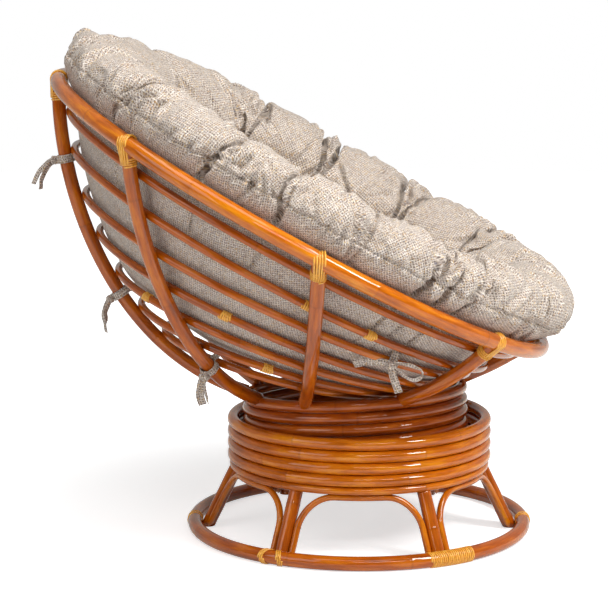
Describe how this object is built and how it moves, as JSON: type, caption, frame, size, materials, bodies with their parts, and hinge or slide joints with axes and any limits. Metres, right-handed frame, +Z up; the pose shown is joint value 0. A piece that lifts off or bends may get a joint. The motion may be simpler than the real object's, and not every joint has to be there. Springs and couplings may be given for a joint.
{
  "type": "papasan chair",
  "caption": "Round papasan chair: a tilted bowl of bent rattan poles with a tufted cushion, rocking and turning on a drum base.",
  "frame": {"origin": "on the floor, under the middle of the chair's outer box", "axes": "+Z up, -Y to the front where the bowl dips, +X to the sitter's left"},
  "size_m": [1.15, 1.0612, 1.0308],
  "materials": {
    "varnished_rattan": "glossy honey varnish over peeled rattan poles",
    "dark_rattan": "darker glossy varnish",
    "peel_binding": "satin flat rattan peel, wound close",
    "black_steel": "satin black paint on pressed sheet",
    "zinc_steel": "zinc plated, slightly dull",
    "tweed": "woven grey beige tweed with yellow and brown flecks"
  },
  "bodies": {
    "base": {"floor_ring": "varnished_rattan", "leg_1": "varnished_rattan", "leg_2": "varnished_rattan", "leg_3": "varnished_rattan", "leg_4": "varnished_rattan", "leg_5": "varnished_rattan", "leg_6": "varnished_rattan", "arch_1": "varnished_rattan", "arch_2": "varnished_rattan", "arch_3": "varnished_rattan", "arch_4": "varnished_rattan", "arch_5": "varnished_rattan", "arch_6": "varnished_rattan", "floor_ring_winding": "peel_binding", "lower_drum_foot_ring": "varnished_rattan", "lower_drum_ring_1": "varnished_rattan", "lower_drum_ring_2": "varnished_rattan", "lower_drum_ring_3": "varnished_rattan", "lower_drum_ring_4": "varnished_rattan", "lower_cross_bar_1": "dark_rattan", "lower_cross_bar_2": "dark_rattan", "swivel_plate": "black_steel", "ball_race": "zinc_steel"},
    "swivel": {"kingpin": "zinc_steel", "turntable": "black_steel", "rocker_axle": "zinc_steel", "spring_1": "zinc_steel", "spring_2": "zinc_steel", "spring_3": "zinc_steel", "spring_4": "zinc_steel"},
    "seat": {"rocker_plate": "black_steel", "upper_drum_ring_1": "dark_rattan", "upper_drum_ring_2": "dark_rattan", "upper_drum_ring_3": "dark_rattan", "upper_drum_ring_4": "dark_rattan", "upper_cross_bar_1": "dark_rattan", "upper_cross_bar_2": "dark_rattan", "bowl_rim": "varnished_rattan", "rib_1": "varnished_rattan", "rib_2": "varnished_rattan", "rib_3": "varnished_rattan", "rib_4": "varnished_rattan", "rib_5": "varnished_rattan", "rib_6": "varnished_rattan", "rib_7": "varnished_rattan", "rib_8": "varnished_rattan", "hoop_1": "varnished_rattan", "hoop_2": "varnished_rattan", "hoop_3": "varnished_rattan", "hoop_4": "varnished_rattan", "hoop_5": "varnished_rattan", "hoop_6": "varnished_rattan", "hoop_7": "varnished_rattan", "cushion": "tweed", "rib_tie_1": "tweed", "rib_tie_2": "tweed", "rib_tie_3": "tweed", "hoop_bow": "tweed"}
  },
  "joints": [
    {"name": "seat_turn", "type": "hinge", "parent": "base", "child": "swivel", "pos_m": [0, -0.10522, 0.16], "axis": [0, 0, 1], "continuous": true},
    {"name": "seat_rock", "type": "hinge", "parent": "swivel", "child": "seat", "pos_m": [0, -0.10522, 0.18535], "axis": [1, 0, 0], "range_deg": [-5, 10], "stiffness_Nm_per_rad": 420, "springref_deg": 0.52, "deforming": ["spring_1", "spring_2", "spring_3", "spring_4"]}
  ]
}
